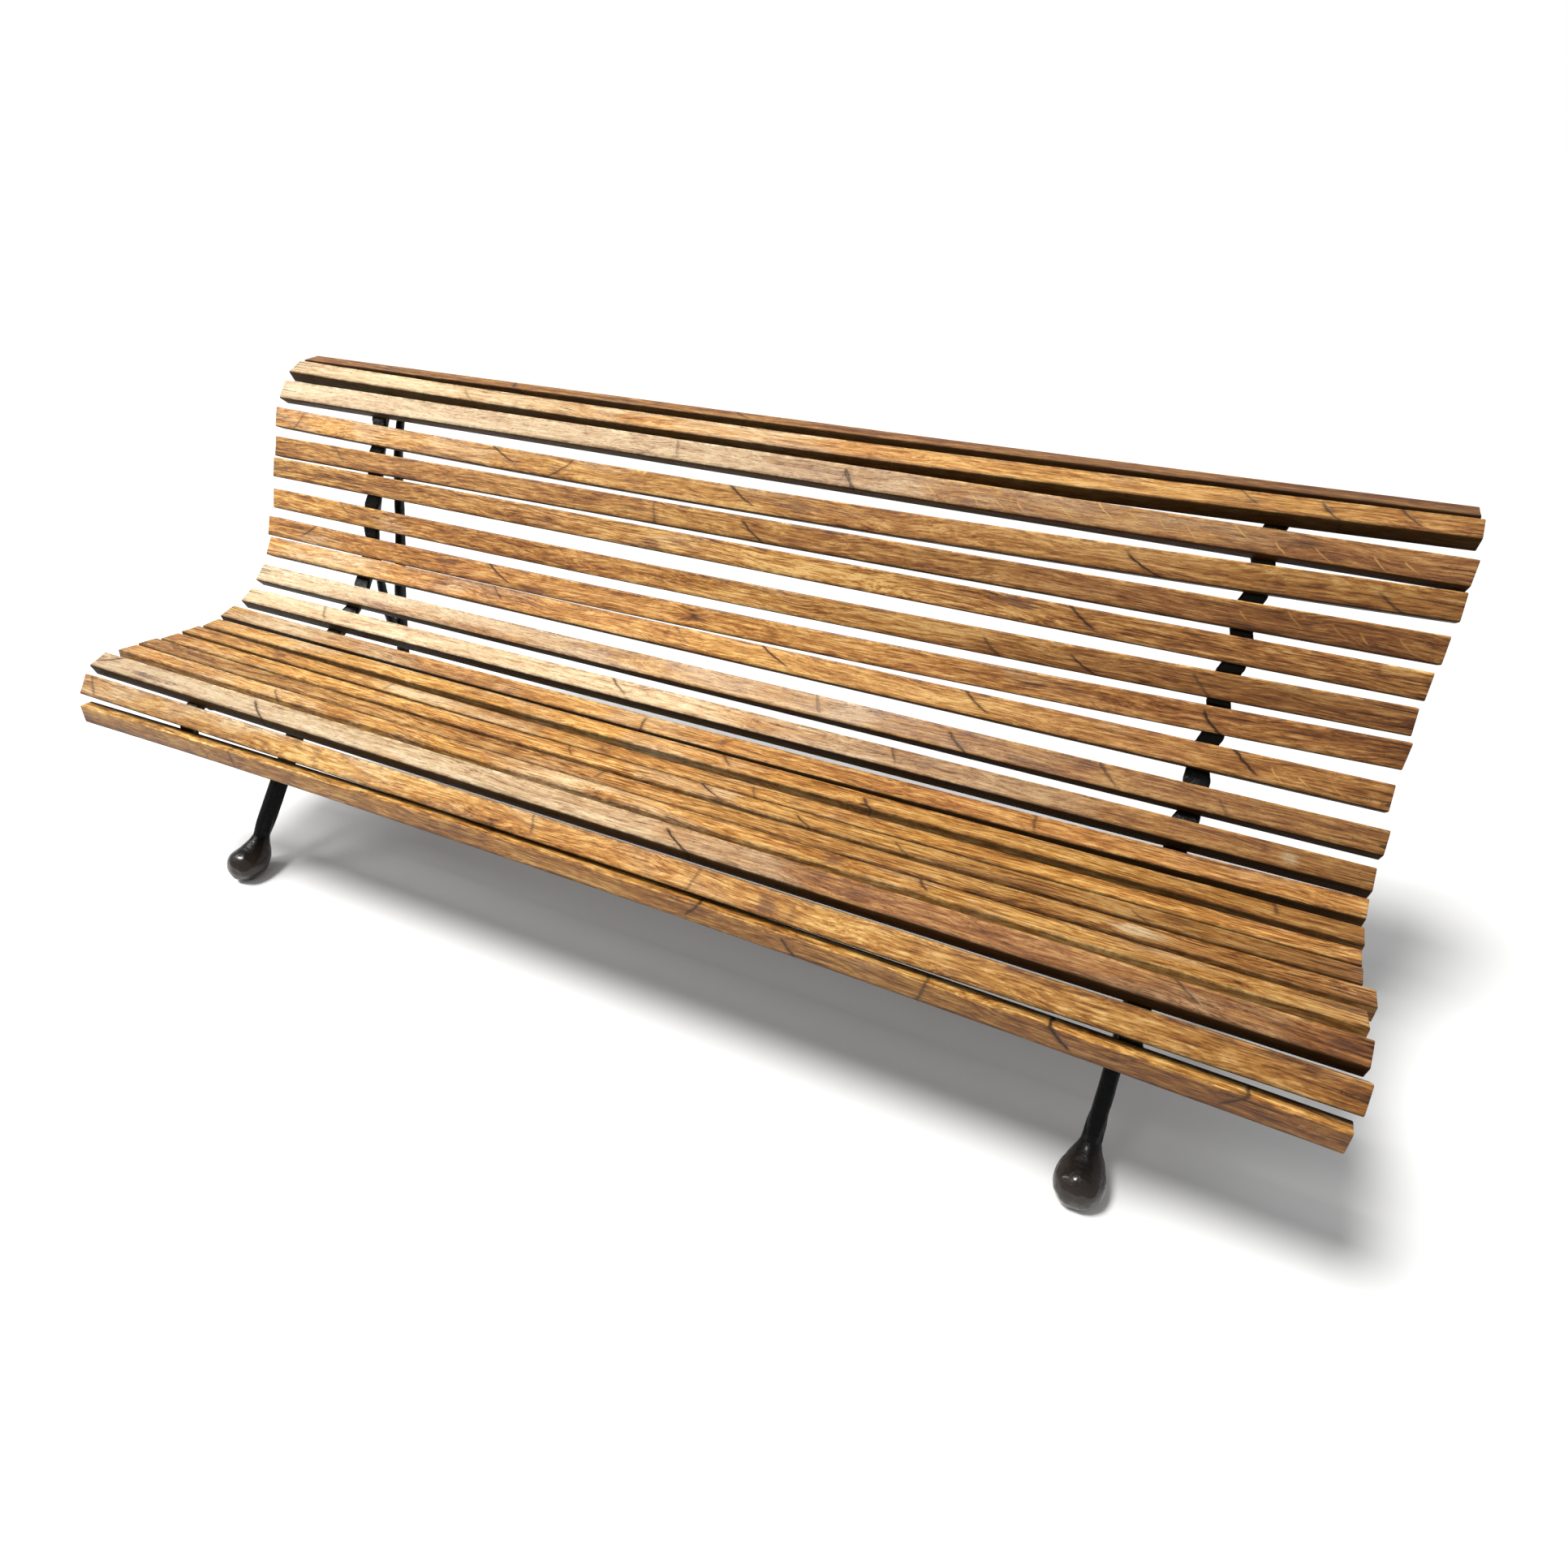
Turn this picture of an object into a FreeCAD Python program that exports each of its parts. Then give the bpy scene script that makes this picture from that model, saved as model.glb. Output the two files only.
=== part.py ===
import FreeCAD, Part
import math
import os

# Slatted street bench with a high back, in millimetres.
# X runs along the bench, Y from the sitter's knees to the back, Z up, ground at Z = 0.
# Twenty long boards follow one curved profile and are screwed, from behind,
# to the rails of two cast supports.

Vector = FreeCAD.Vector
Rotation = FreeCAD.Rotation
Placement = FreeCAD.Placement
X_AXIS = Vector(1, 0, 0)
Z_AXIS = Vector(0, 0, 1)

# ---- driving dimensions ----
BENCH_LENGTH = 2200.0
BOARD_WIDTH = 40.0
FRONT_BOARD_WIDTH = 35.0
BOARD_THICKNESS = 24.0
BOARD_EDGE_RADIUS = 4.0
BOARD_END_CHAMFER = 1.2
BEND_STEPS = 8               # straight stretches in a bent board
SUPPORT_X = {"left": -841.0, "right": 846.0}     # middle of each support
MID_DEPTH = 147.0            # the bench's middle, behind the datum used for the side outline

# Side outline of the boards' upper faces: it starts under the front board, heading up.
# Each stretch is (length, turn in degrees), turning left when positive.
OUTLINE_START = (-236.0, 308.0)
OUTLINE = (
    (19.0, 0.0),             # front board, upright
    (162.0, -100.0),         # roll over the front edge
    (177.0, 3.0),            # seat
    (311.0, 74.0),           # hollow where the seat turns into the back
    (233.0, -5.0),           # back
    (134.0, -58.0),          # roll over the crest
)

# Middle of each board along the outline, from the front board to the rear of the crest.
# The steps are uneven because the boards were set out by hand.
FIRST_BOARD = 28.0
BOARD_STEPS = (57, 54, 56, 44, 47, 43, 55, 49, 56, 60, 63, 47, 55, 59, 47, 55, 57, 60, 51)

# The old boards have moved and warped. How far each board's (left end, middle, right end)
# lies up the outline from its station, which is where its screws are.
BOARD_WARP = {"seat_slat_9": (-4, 10, -9), "seat_slat_8": (0, 1.5, -3.5),
              "seat_slat_7": (3, 1, -4), "seat_slat_6": (8, -4, -5), "seat_slat_5": (9, -7, 3),
              "seat_slat_4": (5, -5, 0), "seat_slat_3": (11, -7, 0), "seat_slat_2": (2, 0, -2),
              "seat_slat_1": (2, -4, 4),
              "back_slat_9": (2, 1, 0), "back_slat_8": (1, 0, -1), "back_slat_7": (0, 0, 0),
              "back_slat_6": (-5, -5, 14), "back_slat_5": (-1, -4, 7), "back_slat_4": (4, 1, -2),
              "back_slat_3": (0, 1, 2), "back_slat_2": (4, -7, 6), "back_slat_1": (5, 0, -5),
              "top_slat_front": (7, -9, 7), "top_slat_rear": (4, -5, 4)}

# How far a board's (left, right) end stands past the nominal length.
BOARD_ENDS = {"seat_slat_9": (2, 1), "seat_slat_8": (-2, 3), "seat_slat_7": (3, -3),
              "seat_slat_6": (0, -8), "seat_slat_5": (4, 4), "seat_slat_4": (-3, -8),
              "seat_slat_3": (1, -8), "seat_slat_2": (-2, -3), "seat_slat_1": (3, 0),
              "back_slat_9": (-3, 3), "back_slat_8": (0, 9), "back_slat_7": (2, 0),
              "back_slat_6": (9, 1), "back_slat_5": (-3, -5), "back_slat_4": (1, -4),
              "back_slat_3": (-1, 0), "back_slat_2": (3, 3), "back_slat_1": (-2, 3),
              "top_slat_front": (2, 0), "top_slat_rear": (-1, -4)}

# Cast rail behind the boards: a flange with staggered screw lugs and a web on its back.
RAIL_SEAT_DEPTH = 2.0        # how deep the boards sit in the flange
FLANGE_THICKNESS = 8.0
FLANGE_HALF_WIDTH = 20.0
SCALLOP_RADIUS = 70.0        # hollow in the flange's edge, opposite each lug
SCALLOP_DEPTH = 8.0
WEB_WIDTH = 10.0
WEB_DEPTH = 14.0
RAIL_END_OVERHANG = 14.0     # rail past the middle of the first and last boards

# Screws and washers.
LUG_OFFSET = 12.2            # screw from the rail's middle
SHANK_RADIUS = 3.0
SCREW_BITE = 16.0            # depth of the screw in the board
LUG_HOLE_RADIUS = 3.3
SPOT_FACE_RADIUS = 6.8
SPOT_FACE_DEPTH = 0.6
WASHER_RADIUS = 6.5
WASHER_THICKNESS = 1.6
HEAD_ACROSS_FLATS = 10.0
HEAD_HEIGHT = 4.0

# Legs: two splayed stems joined by a round crown under the seat, the rear one mirrored.
STEM_WIDTH = 24.0
STEM_DEPTH = 33.0
STEM_ANGLE = 46.0
STEM_FOOT = (-166.0, 50.6)   # the stem's lower end, inside the foot
CROWN_MIDDLE = 127.5
CROWN_RADIUS = 130.0

# Sections of the foot as (y, z, heading, half width, half depth), from stem to toe.
FOOT_SECTIONS = (
    (-120.0, 98.0, 46.0, 9.0, 12.0),
    (-143.0, 74.0, 46.0, 14.0, 17.0),
    (-159.0, 54.0, 43.0, 23.0, 24.0),
    (-176.0, 38.0, 34.0, 33.0, 31.0),
    (-194.0, 30.0, 22.0, 38.0, 33.0),
    (-212.0, 27.0, 12.0, 37.0, 30.5),
    (-227.0, 25.0, 5.0, 29.0, 24.0),
    (-235.0, 25.0, 0.0, 17.0, 14.0),
    (-238.0, 25.0, 0.0, 7.0, 6.0),
)

# Centre lines of the lighter bars, as (y, z) points joined by a smooth curve.
STAY_LINE = ((507, 776), (480, 728), (453, 668), (422, 567), (400, 494),
             (367, 396), (348, 326), (328, 250), (306, 170))
BRACE_LINE = ((330, 500), (320, 440), (317, 395), (319, 350), (329, 305), (339, 280))
FRONT_BRANCH_LINE = ((4, 226), (-28, 280), (-80, 334), (-150, 371))


def outline_point(station):
    """Point (y, z) and heading of the boards' outline at a distance along it."""
    y, z = OUTLINE_START
    heading = math.radians(90.0)
    for number, (length, turn) in enumerate(OUTLINE):
        last = number == len(OUTLINE) - 1
        walked = station if last else min(station, length)
        bend = math.radians(turn) / length
        chord = walked
        if abs(bend * walked) > 1e-9:
            chord = 2.0 * math.sin(bend * walked / 2.0) / bend
        middle = heading + bend * walked / 2.0
        y += chord * math.cos(middle)
        z += chord * math.sin(middle)
        heading += bend * walked
        station -= walked
        if station <= 0:
            break
    return y, z, heading


def frame_at(station, x=0.0):
    """Placement whose local y runs along the outline and local z out of the boards' faces."""
    y, z, heading = outline_point(station)
    return Placement(Vector(x, y, z), Rotation(X_AXIS, math.degrees(heading)))


def offset_point(station, offset, x=0.0):
    return frame_at(station, x).multVec(Vector(0, 0, offset))


def board_names():
    seat = ["seat_slat_%d" % n for n in range(9, 0, -1)]
    back = ["back_slat_%d" % n for n in range(9, 0, -1)]
    return seat + back + ["top_slat_front", "top_slat_rear"]


def board_stations():
    stations = [FIRST_BOARD]
    for step in BOARD_STEPS:
        stations.append(stations[-1] + step)
    return stations


def board_section(x, bow, width, inset):
    """End grain of a bent board at x, made smaller all round by the inset."""
    half = BENCH_LENGTH / 2.0
    wire = rounded_section(0, 0, 0, width - 2.0 * inset, BOARD_THICKNESS - 2.0 * inset,
                           BOARD_EDGE_RADIUS - inset)
    upright = Placement(Vector(0, 0, -BOARD_THICKNESS / 2.0), Rotation(Vector(1, 1, 1), 120))
    heading = math.degrees(math.atan(-2.0 * bow * x / half ** 2))
    place = Placement(Vector(x, bow * (1.0 - (x / half) ** 2), 0), Rotation(Z_AXIS, heading))
    wire.Placement = place.multiply(upright)
    return wire


def board_blank(name, station):
    """One board with eased edges, bent in the plane of its face, before it is drilled."""
    extra_left, extra_right = BOARD_ENDS[name]
    left, middle, right = BOARD_WARP[name]
    lift = (left + right) / 2.0
    bow = middle - lift
    width = FRONT_BOARD_WIDTH if station == FIRST_BOARD else BOARD_WIDTH
    start = -BENCH_LENGTH / 2.0 - extra_left
    end = BENCH_LENGTH / 2.0 + extra_right
    first, last = start + BOARD_END_CHAMFER, end - BOARD_END_CHAMFER
    sections = [board_section(start, bow, width, BOARD_END_CHAMFER)]
    for step in range(BEND_STEPS + 1):
        x = first + (last - first) * step / BEND_STEPS
        sections.append(board_section(x, bow, width, 0.0))
    sections.append(board_section(end, bow, width, BOARD_END_CHAMFER))
    board = Part.makeLoft(sections, True, True)
    skew = math.degrees(math.atan((right - left) / BENCH_LENGTH))
    place = frame_at(station).multiply(Placement(Vector(0, lift, 0), Rotation(Z_AXIS, skew)))
    board.Placement = place.multiply(board.Placement)
    return board


def band(start, end, upper, lower, width):
    """Strip that follows the outline between two stations and two offsets."""
    stops = [start]
    total = 0.0
    for length, _ in OUTLINE:
        total += length
        if start < total < end:
            stops.append(total)
    stops.append(end)
    edges = []
    for offset in (upper, lower):
        for a, b in zip(stops, stops[1:]):
            first, last = offset_point(a, offset), offset_point(b, offset)
            middle = offset_point((a + b) / 2.0, offset)
            if b <= OUTLINE[0][0]:
                edges.append(Part.makeLine(first, last))
            else:
                edges.append(Part.Arc(first, middle, last).toShape())
    for stop in (start, end):
        edges.append(Part.makeLine(offset_point(stop, upper), offset_point(stop, lower)))
    face = Part.Face(Part.Wire(Part.__sortEdges__(edges)))
    strip = face.extrude(Vector(width, 0, 0))
    strip.translate(Vector(-width / 2.0, 0, 0))
    return strip


def lug_side(number):
    """The screw lugs alternate: right of the rail on even boards, left on odd ones."""
    return 1 if number % 2 == 0 else -1


def local_cylinder(station, x, radius, bottom, top):
    cylinder = Part.makeCylinder(radius, top - bottom, Vector(x, 0, bottom))
    cylinder.Placement = frame_at(station).multiply(cylinder.Placement)
    return cylinder


def rail(stations):
    """Curved rail: flange with scalloped edges, and a web behind it."""
    start = stations[0] - RAIL_END_OVERHANG
    end = stations[-1] + RAIL_END_OVERHANG
    upper = -BOARD_THICKNESS + RAIL_SEAT_DEPTH
    lower = -BOARD_THICKNESS - FLANGE_THICKNESS
    flange = band(start, end, upper, lower, 2.0 * FLANGE_HALF_WIDTH)
    scallops = []
    for number, station in enumerate(stations):
        centre = FLANGE_HALF_WIDTH - SCALLOP_DEPTH + SCALLOP_RADIUS
        x = -lug_side(number) * centre
        scallops.append(local_cylinder(station, x, SCALLOP_RADIUS, lower - 8.0, upper + 8.0))
    flange = flange.cut(scallops)
    web = band(start + 4.0, end - 3.0, lower + 1.0, lower - WEB_DEPTH, WEB_WIDTH)
    return flange.fuse(web)


def rounded_section(y, z, heading, width, depth, radius):
    """Rounded rectangle square to a bar's centre line: width along X, depth in its plane."""
    a, b = width / 2.0, depth / 2.0
    edges = []
    for turn in range(4):
        near, far = (a, b) if turn % 2 == 0 else (b, a)
        corner = Vector(near - radius, far - radius, 0)
        quarter = [corner + Vector(radius, 0, 0),
                   corner + Vector(radius * math.sqrt(0.5), radius * math.sqrt(0.5), 0),
                   corner + Vector(0, radius, 0)]
        side = Vector(-(near - radius), far, 0)
        spin = Rotation(Z_AXIS, 90.0 * turn)
        quarter = [spin.multVec(p) for p in quarter]
        edges.append(Part.Arc(*quarter).toShape())
        edges.append(Part.makeLine(quarter[2], spin.multVec(side)))
    wire = Part.Wire(Part.__sortEdges__(edges))
    wire.Placement = Placement(Vector(0, y, z), Rotation(X_AXIS, heading + 90.0))
    return wire


def curved_bar(points, first_size, last_size, radius):
    """Tapering bar along a smooth curve through (y, z) points; sizes are (width, depth)."""
    curve = Part.BSplineCurve()
    curve.interpolate([Vector(0, y, z) for y, z in points])
    sections = []
    for point, parameter, size in ((points[0], curve.FirstParameter, first_size),
                                   (points[-1], curve.LastParameter, last_size)):
        tangent = curve.tangent(parameter)[0]
        heading = math.degrees(math.atan2(tangent.z, tangent.y))
        sections.append(rounded_section(*point, heading, *size, radius))
    return Part.Wire(curve.toShape()).makePipeShell(sections, True, False)


def leg_arch():
    """Front and rear stems as one bar, bent over a round crown."""
    slope = math.radians(STEM_ANGLE)
    run = CROWN_RADIUS * math.sin(slope)
    foot_y, foot_z = STEM_FOOT
    bend_y = CROWN_MIDDLE - run
    bend_z = foot_z + (bend_y - foot_y) * math.tan(slope)
    top_z = bend_z + CROWN_RADIUS * (1.0 - math.cos(slope))
    foot = Vector(0, foot_y, foot_z)
    bend = Vector(0, bend_y, bend_z)
    crown = Vector(0, CROWN_MIDDLE, top_z)
    rear_bend = Vector(0, CROWN_MIDDLE + run, bend_z)
    rear_foot = Vector(0, 2.0 * CROWN_MIDDLE - foot_y, foot_z)
    path = Part.Wire([Part.makeLine(foot, bend),
                      Part.Arc(bend, crown, rear_bend).toShape(),
                      Part.makeLine(rear_bend, rear_foot)])
    section = rounded_section(foot_y, foot_z, STEM_ANGLE, STEM_WIDTH, STEM_DEPTH, 7.0)
    return path.makePipeShell([section], True, False), top_z


def foot():
    """Drop-shaped foot that swells from the stem, with a flat sole."""
    wires = []
    for y, z, heading, half_width, half_depth in FOOT_SECTIONS:
        long_half, short_half = max(half_width, half_depth), min(half_width, half_depth)
        ellipse = Part.Ellipse(Vector(), long_half, short_half).toShape()
        spin = 0.0 if half_width >= half_depth else 90.0
        ellipse.Placement = Placement(Vector(), Rotation(Z_AXIS, spin))
        wire = Part.Wire(ellipse)
        tilt = Placement(Vector(0, y, z), Rotation(X_AXIS, heading + 90.0))
        wire.Placement = tilt.multiply(ellipse.Placement)
        wires.append(wire)
    body = Part.makeLoft(wires, True, False)
    below_ground = Part.makeBox(200, 300, 100, Vector(-100, -350, -100))
    return body.cut(below_ground)


def support_blank(stations):
    """One whole casting about X = 0, before the boards' seats are cut."""
    arch, crown_z = leg_arch()
    front_foot = foot()
    rear_foot = front_foot.mirror(Vector(0, CROWN_MIDDLE, 0), Vector(0, 1, 0))
    post_line = ((CROWN_MIDDLE, crown_z - 4.0), (CROWN_MIDDLE, crown_z + 52.0))
    bars = [arch, front_foot, rear_foot,
            curved_bar(STAY_LINE, (15.0, 15.0), (20.0, 27.0), 6.0),
            curved_bar(BRACE_LINE, (13.0, 14.0), (16.0, 22.0), 5.0),
            curved_bar(FRONT_BRANCH_LINE, (20.0, 26.0), (16.0, 20.0), 6.0),
            curved_bar(post_line, (18.0, 46.0), (18.0, 56.0), 6.0)]
    return rail(stations).fuse(bars).removeSplitter()


def screw(station, x):
    """Hex-head wood screw, driven from behind through a lug."""
    seat = -BOARD_THICKNESS - FLANGE_THICKNESS + SPOT_FACE_DEPTH - WASHER_THICKNESS
    corner_radius = HEAD_ACROSS_FLATS / math.sqrt(3.0)
    corners = [Vector(corner_radius * math.cos(math.radians(60 * n)),
                      corner_radius * math.sin(math.radians(60 * n)), 0) for n in range(7)]
    head = Part.Face(Part.makePolygon(corners)).extrude(Vector(0, 0, -HEAD_HEIGHT))
    tip_length = 4.0
    shank_length = SCREW_BITE - BOARD_THICKNESS - seat - tip_length
    shank = Part.makeCylinder(SHANK_RADIUS, shank_length)
    tip = Part.makeCone(SHANK_RADIUS, 0.6, tip_length, Vector(0, 0, shank_length))
    body = head.fuse([shank, tip]).removeSplitter()
    body.Placement = frame_at(station).multiply(Placement(Vector(x, 0, seat), Rotation()))
    return body


def washer(station, x):
    top = -BOARD_THICKNESS - FLANGE_THICKNESS + SPOT_FACE_DEPTH
    bottom = top - WASHER_THICKNESS
    ring = local_cylinder(station, x, WASHER_RADIUS, bottom, top)
    return ring.cut(local_cylinder(station, x, LUG_HOLE_RADIUS, bottom - 1.0, top + 1.0))


def export(shape, name):
    shape.translate(Vector(0, -MID_DEPTH, 0))
    shape.exportStep("parts/%s.step" % name)


def main():
    os.makedirs("parts", exist_ok=True)
    names = board_names()
    stations = board_stations()
    blanks = [board_blank(name, station) for name, station in zip(names, stations)]
    casting = support_blank(stations)

    drills = [[] for _ in names]
    for support, middle in SUPPORT_X.items():
        screws, washers, cutters = [], [], list(blanks)
        for number, station in enumerate(stations):
            x = middle + lug_side(number) * LUG_OFFSET
            behind = -BOARD_THICKNESS - FLANGE_THICKNESS + SPOT_FACE_DEPTH
            screws.append(screw(station, x))
            washers.append(washer(station, x))
            cutters.append(local_cylinder(station, x, LUG_HOLE_RADIUS, behind - 2.0, -10.0))
            cutters.append(local_cylinder(station, x, SPOT_FACE_RADIUS, behind - 8.0, behind))
            pilot_end = SCREW_BITE - BOARD_THICKNESS
            drills[number].append(local_cylinder(station, x, SHANK_RADIUS, -30.0, pilot_end))
        body = casting.copy()
        body.translate(Vector(middle, 0, 0))
        export(body.cut(cutters), "support_%s" % support)
        export(Part.makeCompound(screws), "screws_%s" % support)
        export(Part.makeCompound(washers), "washers_%s" % support)

    for name, blank, holes in zip(names, blanks, drills):
        export(blank.cut(holes), name)


main()
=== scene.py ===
import math

import bpy
import numpy as np
from mathutils import Matrix, Vector, noise


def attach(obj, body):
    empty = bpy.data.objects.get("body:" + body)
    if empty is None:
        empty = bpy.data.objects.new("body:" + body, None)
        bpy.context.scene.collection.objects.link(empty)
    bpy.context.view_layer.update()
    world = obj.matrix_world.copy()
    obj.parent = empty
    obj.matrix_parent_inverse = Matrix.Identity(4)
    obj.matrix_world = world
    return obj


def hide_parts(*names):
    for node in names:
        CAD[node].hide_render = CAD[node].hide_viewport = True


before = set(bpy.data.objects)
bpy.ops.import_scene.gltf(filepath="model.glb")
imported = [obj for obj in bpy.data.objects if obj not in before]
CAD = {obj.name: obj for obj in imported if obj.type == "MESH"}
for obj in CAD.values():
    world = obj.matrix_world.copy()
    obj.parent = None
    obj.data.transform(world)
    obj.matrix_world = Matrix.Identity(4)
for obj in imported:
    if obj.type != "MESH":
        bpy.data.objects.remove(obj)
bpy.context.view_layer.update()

# Slatted street bench: twenty varnished oak boards on two cast supports under black paint.
# X runs along the bench, Y to its back, Z up, all in metres, as in the imported frame.

# ---------------------------------------------------------------- oak boards

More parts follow.
